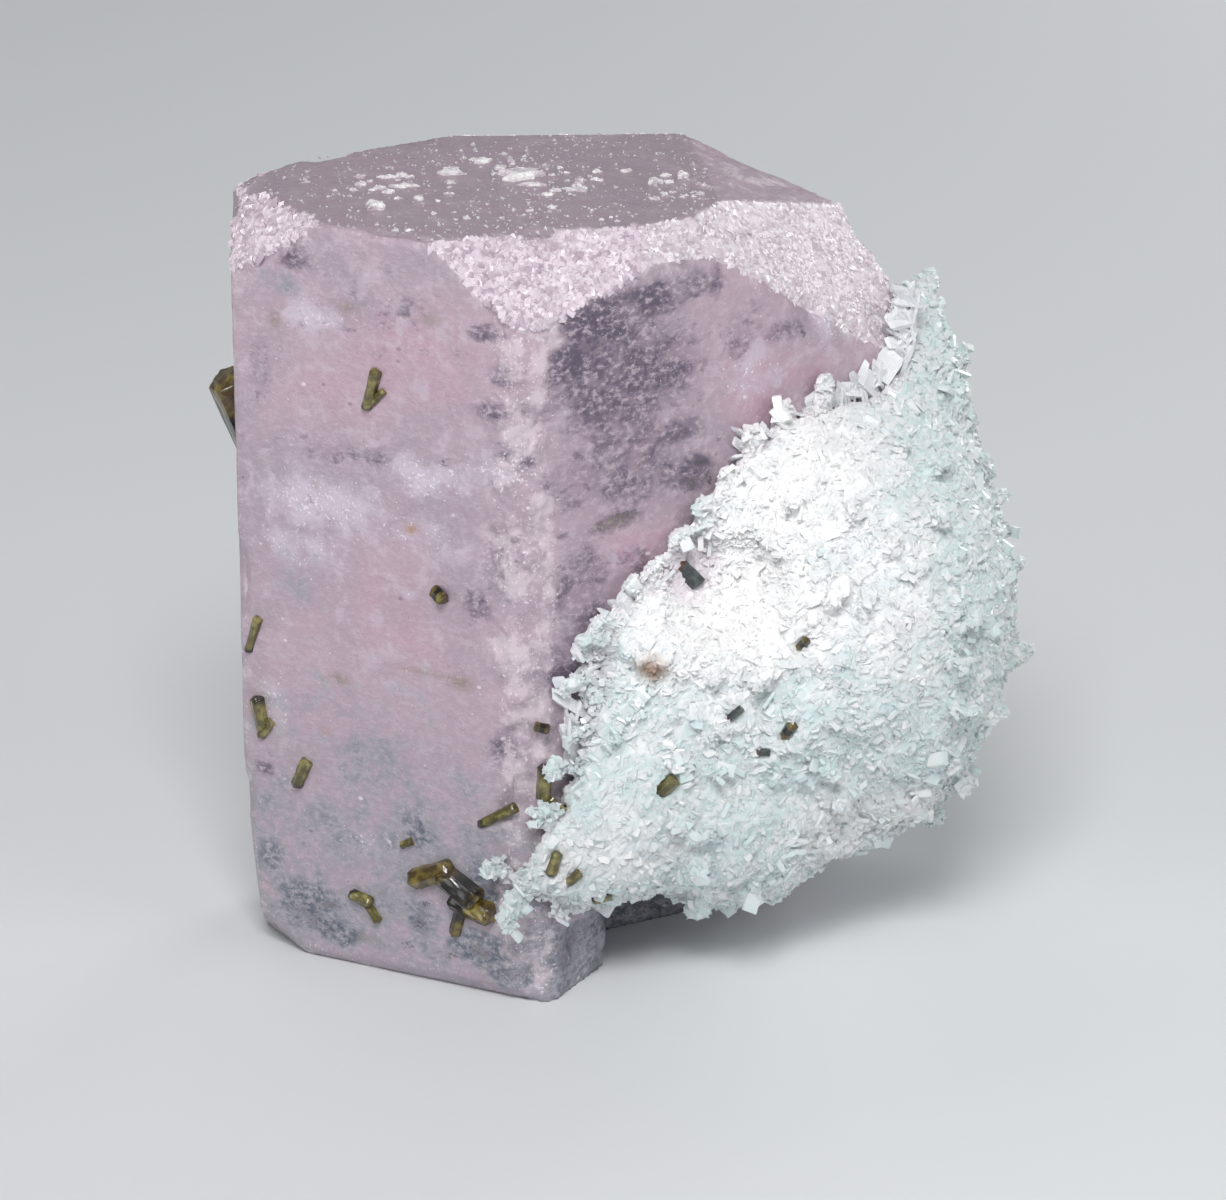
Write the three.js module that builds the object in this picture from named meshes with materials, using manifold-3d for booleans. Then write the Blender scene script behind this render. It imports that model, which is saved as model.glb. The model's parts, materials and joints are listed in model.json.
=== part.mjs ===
// A morganite specimen: a flattened six-sided beryl prism standing on its broken base, a crust of
// bladed albite grown around its right end, and small tourmaline prisms set in both.
// Millimetres. +Z is the prism's long axis, -Y faces the viewer, and the base plane is z = 0.

import * as THREE from "three";
import { ImprovedNoise } from "three/addons/math/ImprovedNoise.js";
import { mergeVertices } from "three/addons/utils/BufferGeometryUtils.js";
import Module from "manifold-3d";

const wasm = await Module();
wasm.setup();

// Driving dimensions of the beryl prism. Azimuths are degrees from +X around +Z.
const HEIGHT = 51;
const GAP = 0.3; // clearance between pieces that are grown together
const LEFT_FRONT = { azimuth: -120, reach: 13.8 };
const RIGHT_FRONT = { azimuth: -60, reach: 10.6 };
const FRONT_EDGE = { azimuth: -90, reach: 13.55 }; // narrow rough face between those two
const PRISM_FACES = [
  LEFT_FRONT,
  FRONT_EDGE,
  RIGHT_FRONT,
  { azimuth: 0, reach: 21.2 },
  { azimuth: 60, reach: 15.3 },
  { azimuth: 90, reach: 14.6 },
  { azimuth: 120, reach: 15.3 },
  { azimuth: 180, reach: 21.6 },
];

// Bevels around the top and worn edges around the base. Dip 0 is level, past 90 it faces down.
const BEVELS = [
  { azimuth: -78, dip: 49, through: [-3.2, -14.0, 45.7] }, // front corner, a white triangle
  { azimuth: -148, dip: 50, through: [-21.4, -3.6, 47.2] }, // left corner
  { azimuth: 142, dip: 50, through: [-21.6, 2.4, HEIGHT] }, // back left corner
  { azimuth: -60, dip: 50, through: [7.0, -8.2, 48.8] }, // band under the right front rim
  { azimuth: -30, dip: 52, through: [18.0, -1.8, 42.1] }, // right corner
  { azimuth: 5, dip: 19, through: [9, 4, HEIGHT] }, // right end of the top
  { azimuth: 90, dip: 40, through: [0, 14.6, 50] }, // back rim
  { azimuth: -118, dip: 130, through: [-12.7, -8.6, 0.9] }, // left front base edge
  { azimuth: -150, dip: 126, through: [-20.7, -4.0, 2.8] }, // left base corner
  { azimuth: 180, dip: 94, through: [-21.6, 0, 13.5] }, // left base, stepping in
  { azimuth: 120, dip: 135, through: [-11, 11.3, 1.2] }, // back left base edge
];

// The right front of the base is broken away along this outline on the floor, below a ceiling that
// rises to the right.
const BREAK_CEILING = 5.2;
const BREAK_RISE = 0.18;
const BREAK_OUTLINE = [
  [2.1, -2.3],
  [1.9, -7.8],
  [-2.3, -14.8],
  [0, -26],
  [34, -26],
  [34, 29],
  [13.2, 3.2],
];

// Lumps that flow together into the albite crust: centre, half axes, and turn about Z in degrees.
const LUMPS = [
  { centre: [16.2, -1.5, 22], half: [12.9, 10.8, 15.8], turn: 0 }, // main mass
  { centre: [22, 4, 31], half: [5, 5.6, 12.1], turn: 0 }, // right shoulder
  { centre: [6.6, -8.4, 20], half: [7, 5.2, 7.6], turn: 30 }, // left lobe on the right front face
  { centre: [2.7, -10.7, 12.5], half: [5, 4.3, 6.8], turn: 30 }, // tongue beside the front edge
  { centre: [-1.8, -13, 9.6], half: [3.2, 2.5, 2.8], turn: 0 }, // toe across the front edge
  { centre: [9.9, -6, 11], half: [8, 7, 7], turn: 20 }, // underside
  { centre: [17, 8, 18], half: [8, 6.5, 14], turn: 0 }, // back right
  { centre: [10, 10.5, 4], half: [8, 5.6, 8], turn: 0 }, // back foot on the floor
];
const CRUST_MIDDLE = new THREE.Vector3(12, -4, 18);
const CRUST_DETAIL = 11; // subdivisions of the crust's surface
const CRUST_BLEND = 12; // how sharply one lump gives way to the next
const CRUST_SWELL = 0.9; // height of the broad bumps
const CRUST_GRAIN = 0.5; // height of the finest facets
const BLADE_COUNT = 80;
const RIM_BLADE_COUNT = 16;

// Colours and finish
const MORGANITE = { color: 0xb49baa, roughness: 0.35, metalness: 0 };
const ALBITE = { color: 0xdce8ea, roughness: 0.5, metalness: 0 };
const OLIVE_TOURMALINE = { color: 0x6f6a2c, roughness: 0.3, metalness: 0 };
const BROWN_TOURMALINE = { color: 0x4f3a1e, roughness: 0.3, metalness: 0 };
const GREY_TOURMALINE = { color: 0x68716a, roughness: 0.4, metalness: 0 };

const UP = new THREE.Vector3(0, 0, 1);
const ONE = new THREE.Vector3(1, 1, 1);
const FAR = 120; // size of a cutting block, well past the specimen
const { degToRad } = THREE.MathUtils;

// A repeatable random number source, so the crust is the same on every run.
let seed = 20717;
function random(low = 0, high = 1) {
  seed = (Math.imul(seed, 1664525) + 1013904223) >>> 0;
  return low + (high - low) * (seed / 2 ** 32);
}

function solidFrom(geometry, matrix = new THREE.Matrix4()) {
  const bare = geometry.clone().applyMatrix4(matrix);
  bare.deleteAttribute("normal");
  bare.deleteAttribute("uv");
  const welded = mergeVertices(bare, 1e-4);
  return new wasm.Manifold(
    new wasm.Mesh({
      numProp: 3,
      vertProperties: new Float32Array(welded.attributes.position.array),
      triVerts: new Uint32Array(welded.index.array),
    }),
  );
}

function meshFrom(name, solid, finish) {
  const { vertProperties, triVerts } = solid.getMesh();
  const geometry = new THREE.BufferGeometry();
  geometry.setAttribute("position", new THREE.BufferAttribute(vertProperties, 3));
  geometry.setIndex(new THREE.BufferAttribute(triVerts, 1));
  const material = new THREE.MeshStandardMaterial({ ...finish, flatShading: true });
  const mesh = new THREE.Mesh(geometry, material);
  mesh.name = name;
  return mesh;
}

// The unit normal of a face: dip 90 stands upright and faces the azimuth.
function faceNormal(azimuth, dip = 90) {
  const level = Math.sin(degToRad(dip));
  const turn = degToRad(azimuth);
  return new THREE.Vector3(level * Math.cos(turn), level * Math.sin(turn), Math.cos(degToRad(dip)));
}

// A block filling the space on the outer side of a plane.
function beyondPlane(normal, reach) {
  const block = new THREE.BoxGeometry(2 * FAR, 2 * FAR, FAR);
  const turn = new THREE.Quaternion().setFromUnitVectors(UP, normal);
  const place = normal.clone().multiplyScalar(reach + FAR / 2);
  return solidFrom(block, new THREE.Matrix4().compose(place, turn, ONE));
}

// The broken-away corner of the base; a grown crystal has a smaller one.
function brokenCorner(grow) {
  const outline = new THREE.Shape(BREAK_OUTLINE.map(([x, y]) => new THREE.Vector2(x, y)));
  const block = new THREE.ExtrudeGeometry(outline, { depth: FAR, bevelEnabled: false });
  block.translate(grow, -grow, BREAK_CEILING - FAR - grow);
  return solidFrom(block, new THREE.Matrix4().makeShear(0, BREAK_RISE, 0, 0, 0, 0));
}

// The beryl prism, with every face moved out by grow.
function berylSolid(grow = 0) {
  const height = HEIGHT + 2 * grow;
  const block = new THREE.BoxGeometry(FAR, FAR, height).translate(0, 0, HEIGHT / 2);
  let solid = solidFrom(block);
  for (const { azimuth, reach } of PRISM_FACES) {
    solid = solid.subtract(beyondPlane(faceNormal(azimuth), reach + grow));
  }
  for (const { azimuth, dip, through } of BEVELS) {
    const normal = faceNormal(azimuth, dip);
    const reach = normal.dot(new THREE.Vector3(...through));
    solid = solid.subtract(beyondPlane(normal, reach + grow));
  }
  return solid.subtract(brokenCorner(grow));
}

function insideBeryl(point, margin) {
  const inPrism = PRISM_FACES.every(
    ({ azimuth, reach }) => faceNormal(azimuth).dot(point) < reach + margin,
  );
  const inBevels = BEVELS.every(({ azimuth, dip, through }) => {
    const normal = faceNormal(azimuth, dip);
    return normal.dot(point.clone().sub(new THREE.Vector3(...through))) < margin;
  });
  return inPrism && inBevels && point.z < HEIGHT + margin;
}

// A point on an upright prism face: side runs to the viewer's right along it, out stands off it.
function onFace({ azimuth, reach }, side, z, out = 0) {
  const normal = faceNormal(azimuth);
  const sideways = faceNormal(azimuth + 90);
  return normal.multiplyScalar(reach + out).addScaledVector(sideways, side).addScaledVector(UP, z);
}

// A direction along a prism face, turned up from the viewer's right, then lifted off the face.
function alongFace({ azimuth }, turn, lift = 0) {
  const inFace = faceNormal(azimuth + 90)
    .multiplyScalar(Math.cos(degToRad(turn)))
    .addScaledVector(UP, Math.sin(degToRad(turn)));
  return inFace
    .multiplyScalar(Math.cos(degToRad(lift)))
    .addScaledVector(faceNormal(azimuth), Math.sin(degToRad(lift)));
}

// Albite crust: one rough surface around the lumps, with blades fused over it.
const noise = new ImprovedNoise();
const lumpFrames = LUMPS.map(({ centre, half, turn }) => {
  const swing = new THREE.Quaternion().setFromAxisAngle(UP, degToRad(turn));
  const frame = new THREE.Matrix4();
  frame.compose(new THREE.Vector3(...centre), swing, new THREE.Vector3(...half));
  return frame.invert();
});

// Below zero inside the lumps, above zero outside, with a smooth crease between neighbours.
function lumpField(point) {
  const sum = lumpFrames.reduce((total, frame) => {
    const away = point.clone().applyMatrix4(frame).length() - 1;
    return total + Math.exp(-CRUST_BLEND * away);
  }, 0);
  return -Math.log(sum) / CRUST_BLEND;
}

// How far the crust reaches from its middle in a direction.
function crustReach(direction) {
  let inner = 0;
  let outer = 50;
  while (outer - inner > 0.01) {
    const middle = (inner + outer) / 2;
    const point = CRUST_MIDDLE.clone().addScaledVector(direction, middle);
    if (lumpField(point) < 0) inner = middle;
    else outer = middle;
  }
  const { x, y, z } = CRUST_MIDDLE.clone().addScaledVector(direction, inner);
  const broad = noise.noise(x / 4, y / 4, z / 4);
  const fine = noise.noise(x / 1.3 + 40, y / 1.3, z / 1.3);
  return inner + CRUST_SWELL * broad + CRUST_GRAIN * fine;
}

function insideCrust(point) {
  const offset = point.clone().sub(CRUST_MIDDLE);
  return offset.length() < crustReach(offset.clone().normalize());
}

function crustBody() {
  const ball = new THREE.IcosahedronGeometry(1, CRUST_DETAIL);
  const { position } = ball.attributes;
  for (let i = 0; i < position.count; i += 1) {
    const direction = new THREE.Vector3().fromBufferAttribute(position, i).normalize();
    const { x, y, z } = direction.multiplyScalar(crustReach(direction)).add(CRUST_MIDDLE);
    position.setXYZ(i, x, y, z);
  }
  return solidFrom(ball);
}

// A flat blade with a chisel tip. It points along axis, and its broad sides face flat.
function bladeSolid(root, axis, flat, length, width, thickness) {
  const outline = new THREE.Shape();
  outline.moveTo(-0.4 * length, -0.5 * width);
  outline.lineTo(0.42 * length, -0.5 * width);
  outline.lineTo(0.6 * length, -0.1 * width);
  outline.lineTo(0.52 * length, 0.5 * width);
  outline.lineTo(-0.4 * length, 0.5 * width);
  const blade = new THREE.ExtrudeGeometry(outline, { depth: thickness, bevelEnabled: false });
  blade.translate(0, 0, -thickness / 2);
  const along = axis.clone().normalize();
  const across = flat.clone().cross(along).normalize();
  const facing = along.clone().cross(across);
  const place = new THREE.Matrix4().makeBasis(along, across, facing).setPosition(root);
  return solidFrom(blade, place);
}

function randomDirection() {
  const z = random(-1, 1);
  const turn = random(0, 2 * Math.PI);
  const level = Math.sqrt(1 - z * z);
  return new THREE.Vector3(level * Math.cos(turn), level * Math.sin(turn), z);
}

// Blades standing out of the crust, leaning away from its middle.
function standingBlades() {
  const blades = [];
  while (blades.length < BLADE_COUNT) {
    const outward = randomDirection();
    const root = CRUST_MIDDLE.clone().addScaledVector(outward, crustReach(outward));
    const share = root.distanceToSquared(CRUST_MIDDLE) / 500; // evens out near and far places
    if (random() > share || root.z < 5 || insideBeryl(root, 0.5)) continue;
    const axis = outward.clone().addScaledVector(randomDirection(), random(0.4, 0.9));
    blades.push(
      bladeSolid(root, axis, randomDirection(), random(1.8, 2.9), random(1, 1.7), random(0.4, 0.7)),
    );
  }
  return blades;
}

// Blades lying on the right front face around the rim of the crust.
function rimBlades() {
  const blades = [];
  const [side, z] = [9, 20];
  for (let i = 0; i < RIM_BLADE_COUNT; i += 1) {
    const turn = 80 + (140 * i) / (RIM_BLADE_COUNT - 1);
    let away = 0;
    let root = onFace(RIGHT_FRONT, side, z);
    while (insideCrust(root)) {
      away += 0.2;
      const along = alongFace(RIGHT_FRONT, turn).multiplyScalar(away);
      root = onFace(RIGHT_FRONT, side, z, GAP + 0.3).add(along);
    }
    const axis = alongFace(RIGHT_FRONT, turn + random(-30, 30), random(0, 12));
    const flat = faceNormal(RIGHT_FRONT.azimuth).addScaledVector(randomDirection(), 0.3);
    blades.push(bladeSolid(root, axis, flat, random(3, 4.4), random(1, 1.7), 0.6));
  }
  return blades;
}

function crustSolid() {
  const pieces = [crustBody(), ...standingBlades(), ...rimBlades()];
  const whole = pieces.reduce((sum, piece) => sum.add(piece));
  const floor = beyondPlane(UP.clone().negate(), 0);
  return whole.subtract(berylSolid(GAP)).subtract(floor);
}

// Tourmaline prisms: a rounded three-sided section with bevelled ends.
function prismSolid({ at, axis, length, width }, grow = 0) {
  const radius = width / 2 + grow;
  const points = [];
  for (let i = 0; i < 6; i += 1) {
    const turn = (2 * Math.PI * i) / 6;
    const reach = radius * (0.92 + 0.08 * Math.cos(3 * turn));
    points.push(new THREE.Vector2(reach * Math.cos(turn), reach * Math.sin(turn)));
  }
  const bevel = 0.25 * radius;
  const bar = new THREE.ExtrudeGeometry(new THREE.Shape(points), {
    depth: length + 2 * grow - 2 * bevel,
    bevelThickness: bevel,
    bevelSize: bevel,
    bevelOffset: -bevel,
    bevelSegments: 1,
  });
  bar.translate(0, 0, bevel - length / 2 - grow);
  const turn = new THREE.Quaternion().setFromUnitVectors(UP, axis);
  return solidFrom(bar, new THREE.Matrix4().compose(at, turn, ONE));
}

// A prism lying on a face, sunk so that a little more than half of it shows.
function faceRod(face, side, z, turn, length, width, lift = 4) {
  return { at: onFace(face, side, z, 0.12 * width), axis: alongFace(face, turn, lift), length, width };
}

// A prism standing in the crust, found by coming in from the viewer's side.
function crustRod(x, z, turn, length, width, lift = 35) {
  const at = new THREE.Vector3(x, -30, z);
  while (!insideCrust(at)) at.y += 0.1;
  return { at, axis: alongFace(RIGHT_FRONT, turn, lift), length, width };
}

const TOURMALINES = {
  tourmaline_left_end: {
    finish: BROWN_TOURMALINE,
    rods: [
      {
        at: new THREE.Vector3(-20.9, 1.5, 35.6),
        axis: new THREE.Vector3(-0.37, 0, 0.93).normalize(),
        length: 6.4,
        width: 4,
      },
    ],
  },
  tourmaline_pair: {
    finish: OLIVE_TOURMALINE,
    rods: [faceRod(LEFT_FRONT, -6.7, 40.7, 73, 2.9, 0.86), faceRod(LEFT_FRONT, -6.3, 40.2, 45, 1.6, 0.6)],
  },
  tourmaline_stub: {
    finish: BROWN_TOURMALINE,
    rods: [faceRod(LEFT_FRONT, -1.9, 27.7, -16, 1.3, 1.0, 30)],
  },
  tourmaline_left_low: {
    finish: OLIVE_TOURMALINE,
    rods: [faceRod(LEFT_FRONT, -12.5, 13.3, 66, 2.2, 1.05)],
  },
  tourmaline_left_edge: {
    finish: OLIVE_TOURMALINE,
    rods: [faceRod(LEFT_FRONT, -16, 22.4, 70, 2.7, 0.7)],
  },
  tourmaline_left_bunch: {
    finish: OLIVE_TOURMALINE,
    rods: [
      faceRod(LEFT_FRONT, -15.6, 16.9, 100, 2.4, 1.1),
      faceRod(LEFT_FRONT, -15.2, 15.9, 55, 1.6, 0.8),
    ],
  },
  tourmaline_edge_left: {
    finish: OLIVE_TOURMALINE,
    rods: [faceRod(LEFT_FRONT, 2.2, 13.2, 34, 3.4, 0.8)],
  },
  tourmaline_base_bunch: {
    finish: BROWN_TOURMALINE,
    rods: [
      faceRod(LEFT_FRONT, -2.7, 8.1, 25, 3.5, 1.7),
      faceRod(LEFT_FRONT, -0.6, 7.6, -29, 3.2, 2.1),
      faceRod(LEFT_FRONT, 0.3, 6.4, -12, 3.2, 1.8),
      faceRod(LEFT_FRONT, -0.8, 5.3, 75, 2.6, 1.0),
    ],
  },
  tourmaline_base_left: {
    finish: OLIVE_TOURMALINE,
    rods: [
      faceRod(LEFT_FRONT, -8.1, 5.2, -12, 1.7, 0.95),
      faceRod(LEFT_FRONT, -7.3, 4.4, -52, 1.5, 0.7),
    ],
  },
  tourmaline_base_small: {
    finish: OLIVE_TOURMALINE,
    rods: [faceRod(LEFT_FRONT, -4.6, 9.9, 30, 1.0, 0.7)],
  },
  tourmaline_edge_brown: {
    finish: BROWN_TOURMALINE,
    rods: [faceRod(FRONT_EDGE, -2.2, 19.5, -12, 1.0, 0.85)],
  },
  tourmaline_edge_upright: {
    finish: OLIVE_TOURMALINE,
    rods: [faceRod(FRONT_EDGE, -2.1, 15.7, 88, 2.5, 1.05)],
  },
  tourmaline_crust_edge: {
    finish: GREY_TOURMALINE,
    rods: [faceRod(RIGHT_FRONT, 2.3, 27.9, -49, 2.3, 1.2, 8)],
  },
  tourmaline_toe_rod: {
    finish: OLIVE_TOURMALINE,
    rods: [crustRod(-0.8, 13.6, -47, 2.8, 0.65, 8)],
  },
  tourmaline_toe_upright: {
    finish: OLIVE_TOURMALINE,
    rods: [crustRod(-1.5, 10.7, 80, 1.8, 0.8, 15)],
  },
  tourmaline_toe_small: {
    finish: OLIVE_TOURMALINE,
    rods: [crustRod(-0.2, 9.6, 62, 1.2, 0.75)],
  },
  tourmaline_crust_low: {
    finish: OLIVE_TOURMALINE,
    rods: [crustRod(1.6, 7.4, 20, 1.3, 0.8)],
  },
  tourmaline_crust_green: {
    finish: OLIVE_TOURMALINE,
    rods: [crustRod(5.8, 15.3, 60, 1.6, 1.1)],
  },
  tourmaline_crust_brown: {
    finish: BROWN_TOURMALINE,
    rods: [crustRod(13.7, 18.4, 80, 1.4, 0.75)],
  },
  tourmaline_crust_red: {
    finish: BROWN_TOURMALINE,
    rods: [crustRod(14.5, 24.4, 70, 1.0, 0.6)],
  },
  tourmaline_crust_dark_upper: {
    finish: GREY_TOURMALINE,
    rods: [crustRod(10.2, 19.9, 60, 1.3, 0.65)],
  },
  tourmaline_crust_dark_lower: {
    finish: GREY_TOURMALINE,
    rods: [crustRod(12.1, 16.8, 0, 0.9, 0.6)],
  },
};

// The specimen: the prism and the crust each leave a pocket around every tourmaline.
let beryl = berylSolid();
let crust = crustSolid();
const specimen = new THREE.Group();
for (const [name, { rods, finish }] of Object.entries(TOURMALINES)) {
  const solid = rods.map((rod) => prismSolid(rod)).reduce((sum, rod) => sum.add(rod));
  for (const rod of rods) {
    const pocket = prismSolid(rod, GAP);
    beryl = beryl.subtract(pocket);
    crust = crust.subtract(pocket);
  }
  specimen.add(meshFrom(name, solid, finish));
}
specimen.add(meshFrom("morganite_crystal", beryl, MORGANITE));
specimen.add(meshFrom("albite_crust", crust, ALBITE));

export default specimen;
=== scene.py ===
import json
import math
import bmesh
import bpy
import numpy as np
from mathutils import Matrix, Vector, noise


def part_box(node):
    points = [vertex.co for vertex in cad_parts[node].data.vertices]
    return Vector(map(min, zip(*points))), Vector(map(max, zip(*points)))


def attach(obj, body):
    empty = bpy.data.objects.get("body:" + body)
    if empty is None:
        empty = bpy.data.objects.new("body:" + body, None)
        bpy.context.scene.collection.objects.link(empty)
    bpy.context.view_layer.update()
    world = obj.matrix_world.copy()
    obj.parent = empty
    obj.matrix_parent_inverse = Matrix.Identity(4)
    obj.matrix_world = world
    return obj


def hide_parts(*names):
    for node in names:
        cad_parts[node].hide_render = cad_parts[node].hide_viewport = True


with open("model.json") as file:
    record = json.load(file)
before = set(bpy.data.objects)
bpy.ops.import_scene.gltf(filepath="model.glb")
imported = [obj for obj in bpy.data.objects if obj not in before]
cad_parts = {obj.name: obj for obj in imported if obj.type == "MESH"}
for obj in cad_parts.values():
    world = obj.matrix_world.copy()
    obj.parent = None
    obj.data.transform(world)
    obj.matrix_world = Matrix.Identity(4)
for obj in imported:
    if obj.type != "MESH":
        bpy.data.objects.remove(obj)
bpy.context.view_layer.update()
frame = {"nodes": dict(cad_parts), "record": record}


# Morganite crystal: one flattened six-sided prism of milky pink beryl. It grew as a single piece,
# with glassy prism faces, frosted bevels around the top and a corner broken off its base.
MM = 0.001
CRYSTAL_VOXEL = 0.3 * MM
# The two front prism faces: the azimuth each faces, in degrees, and its distance from the middle.
LEFT_FACE = (-120, 13.8)
RIGHT_FACE = (-60, 10.6)
# The broken corner: the height of its ceiling, how that rises to the right, and its outline from above.
BREAK_CEILING = 5.2
BREAK_RISE = 0.18
BREAK_FLOOR = -20
BREAK_OUTLINE = [(2.1, -2.3), (1.9, -7.8), (-2.3, -14.8), (0, -26), (34, -26), (34, 29), (13.2, 3.2)]
FLAT_ANGLE = math.radians(0.6)
FACE_DEPTH = 0.6 * MM
COARSE_GRAIN = 1.05
FINE_GRAIN = 0.62
BERYL_IOR = 1.58


def object_from(name, data):
    made = bpy.data.objects.new(name, data)
    bpy.context.scene.collection.objects.link(made)
    return made


def bake_modifiers(piece):
    """Replaces a piece's mesh by what its modifiers make of it."""
    bpy.context.view_layer.update()
    shaped = piece.evaluated_get(bpy.context.evaluated_depsgraph_get())
    mesh = bpy.data.meshes.new_from_object(shaped)
    piece.modifiers.clear()
    piece.data = mesh


def voxel_remesh(piece, size):
    remesh = piece.modifiers.new("remesh", "REMESH")
    remesh.mode = "VOXEL"
    remesh.voxel_size = size
    bake_modifiers(piece)


def points_of(mesh):
    points = np.empty(len(mesh.vertices) * 3)
    mesh.vertices.foreach_get("co", points)
    return points.reshape(-1, 3)


def normals_of(mesh):
    normals = np.empty(len(mesh.vertices) * 3)
    mesh.vertex_normals.foreach_get("vector", normals)
    return normals.reshape(-1, 3)


def reshape(mesh, points, smooth=True):
    """Moves the points of a mesh, keeps them above the floor, and shades it smooth or in flat facets."""
    points[:, 2] = np.maximum(points[:, 2], 0)
    mesh.vertices.foreach_set("co", points.ravel())
    mesh.polygons.foreach_set("use_smooth", [smooth] * len(mesh.polygons))
    mesh.update()


def store(mesh, name, *columns):
    """Keeps up to four values for each point as a colour attribute that materials can read."""
    columns = list(columns) + [np.zeros(len(mesh.vertices))] * (4 - len(columns))
    layer = mesh.color_attributes.new(name, "FLOAT_COLOR", "POINT")
    layer.data.foreach_set("color", np.column_stack(columns).ravel())


def smoothstep(low, high, value):
    share = np.clip((value - low) / (high - low), 0, 1)
    return share * share * (3 - 2 * share)


def clouds(points, size, octaves=3):
    """Soft noise from about -1 to 1, with features of the given size in millimetres."""
    return np.array([noise.fractal(Vector(p) / (size * MM), 1.0, 2.0, octaves) for p in points])


def cells(points, size):
    """Rounded grains of a size in millimetres: a height from 0 at the rim to 1, and a tone for each."""
    height = np.empty(len(points))
    tone = np.empty(len(points))
    for i, place in enumerate(points):
        away, centres = noise.voronoi(Vector(place) / (size * MM))
        height[i] = min((away[1] - away[0]) * 1.6, 1)
        tone[i] = noise.cell(centres[0] * 7.3) * 0.5 + 0.5
    return height, tone


# The convex hull of the solid fills the pockets around the tourmalines, and gives its flat faces.
hull = bmesh.new()
for vertex in frame["nodes"]["morganite_crystal"].data.vertices:
    hull.verts.new(vertex.co)
made = bmesh.ops.convex_hull(hull, input=hull.verts)
leftover = made["geom_interior"] + made["geom_unused"]
inner = {item for item in leftover if isinstance(item, bmesh.types.BMVert)}
bmesh.ops.delete(hull, geom=list(inner), context="VERTS")
bmesh.ops.dissolve_limit(hull, angle_limit=FLAT_ANGLE, verts=hull.verts, edges=hull.edges)
face_normals = np.array([face.normal for face in hull.faces])
face_reaches = np.array([face.normal.dot(face.calc_center_median()) for face in hull.faces])
crystal_mesh = bpy.data.meshes.new("morganite")
hull.to_mesh(crystal_mesh)
hull.free()
morganite = object_from("morganite", crystal_mesh)

# The corner that broke away is cut out of the hull again.
block = bmesh.new()
lower = [block.verts.new((x * MM, y * MM, BREAK_FLOOR * MM)) for x, y in BREAK_OUTLINE]
upper = []
for x, y in BREAK_OUTLINE:
    upper.append(block.verts.new((x * MM, y * MM, (BREAK_CEILING + BREAK_RISE * x) * MM)))
block.faces.new(lower)
block.faces.new(upper)
for i in range(len(lower)):
    j = (i + 1) % len(lower)
    block.faces.new((lower[i], lower[j], upper[j], upper[i]))
bmesh.ops.recalc_face_normals(block, faces=block.faces)
break_mesh = bpy.data.meshes.new("break")
block.to_mesh(break_mesh)
block.free()
break_block = object_from("break", break_mesh)
cut = morganite.modifiers.new("break", "BOOLEAN")
cut.object = break_block
cut.solver = "EXACT"
bake_modifiers(morganite)
bpy.data.objects.remove(break_block)
voxel_remesh(morganite, CRYSTAL_VOXEL)

# Each point belongs to the nearest flat face. Its distance to the next face tells how near an edge is.
points = points_of(morganite.data)
normals = normals_of(morganite.data)
depths = face_reaches[None, :] - points @ face_normals.T
order = np.argsort(depths, axis=1)
face_of = order[:, 0]
on_face = (np.take_along_axis(depths, order[:, :1], axis=1)[:, 0] < FACE_DEPTH) * 1.0
edge_distance = np.take_along_axis(depths, order[:, 1:2], axis=1)[:, 0] / MM
# A face's dip is 0 on the flat top, about 45 on the bevels and 90 on the prism. The bevels that face the
# front or the left are coarse, and the low slope at the top's right end is only lightly frosted.
dips = np.degrees(np.arccos(np.clip(face_normals[:, 2], -1, 1)))
azimuths = np.degrees(np.arctan2(face_normals[:, 1], face_normals[:, 0]))
bevel_face = (dips > 35) & (dips < 62)
coarse_face = bevel_face & (azimuths < -70)
frosted_face = np.select([coarse_face, bevel_face, (dips > 12) & (dips < 25)], [1.0, 0.85, 0.3])
front_edge_face = (abs(azimuths + 90) < 4) & (abs(dips - 90) < 5)
broad = clouds(points, 3.0)
fine = clouds(points, 0.9)
coarse_bumps, coarse_tones = cells(points, COARSE_GRAIN)
fine_bumps, fine_tones = cells(points, FINE_GRAIN)
bumps = np.where(coarse_face[face_of], coarse_bumps, fine_bumps)
tones = np.where(coarse_face[face_of], coarse_tones, 0.5 + 0.5 * fine_tones)
frost = frosted_face[face_of] * on_face
edge_depth = depths[:, front_edge_face][:, 0] / MM
worn = smoothstep(1.1, 0.2, edge_depth + 0.5 * broad) * on_face * (frost == 0)
top = (dips < 5)[face_of] * on_face
broken = 1 - on_face

# Heights in millimetres: frost grains, the worn front edge, the break, and faint waves on glassy faces.
frost_height = np.where(coarse_face[face_of], 0.14, 0.07)
lift = frost * frost_height * (bumps - 0.5)
lift += worn * (0.22 * coarse_bumps + 0.4 * broad - 0.2)
lift += broken * (0.35 * broad + 0.15 * fine)
lift += (1 - frost) * (1 - worn) * on_face * (0.03 * broad + 0.012 * fine)
chips = smoothstep(0.9, 0.0, edge_distance) * smoothstep(0.15, 0.6, clouds(points, 5.0)) * on_face
lift -= 0.5 * chips * np.where(points[:, 2] > 1 * MM, 1.0, 0.2)
patchy = 0.35 + 0.65 * smoothstep(-0.5, 0.5, clouds(points, 4.0))
edge_wear = np.clip(worn * patchy + 0.6 * smoothstep(0.7, 0.1, edge_distance) * on_face, 0, 1)
store(morganite.data, "zones", frost, edge_wear, top)
store(morganite.data, "grains", bumps, tones)


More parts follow.
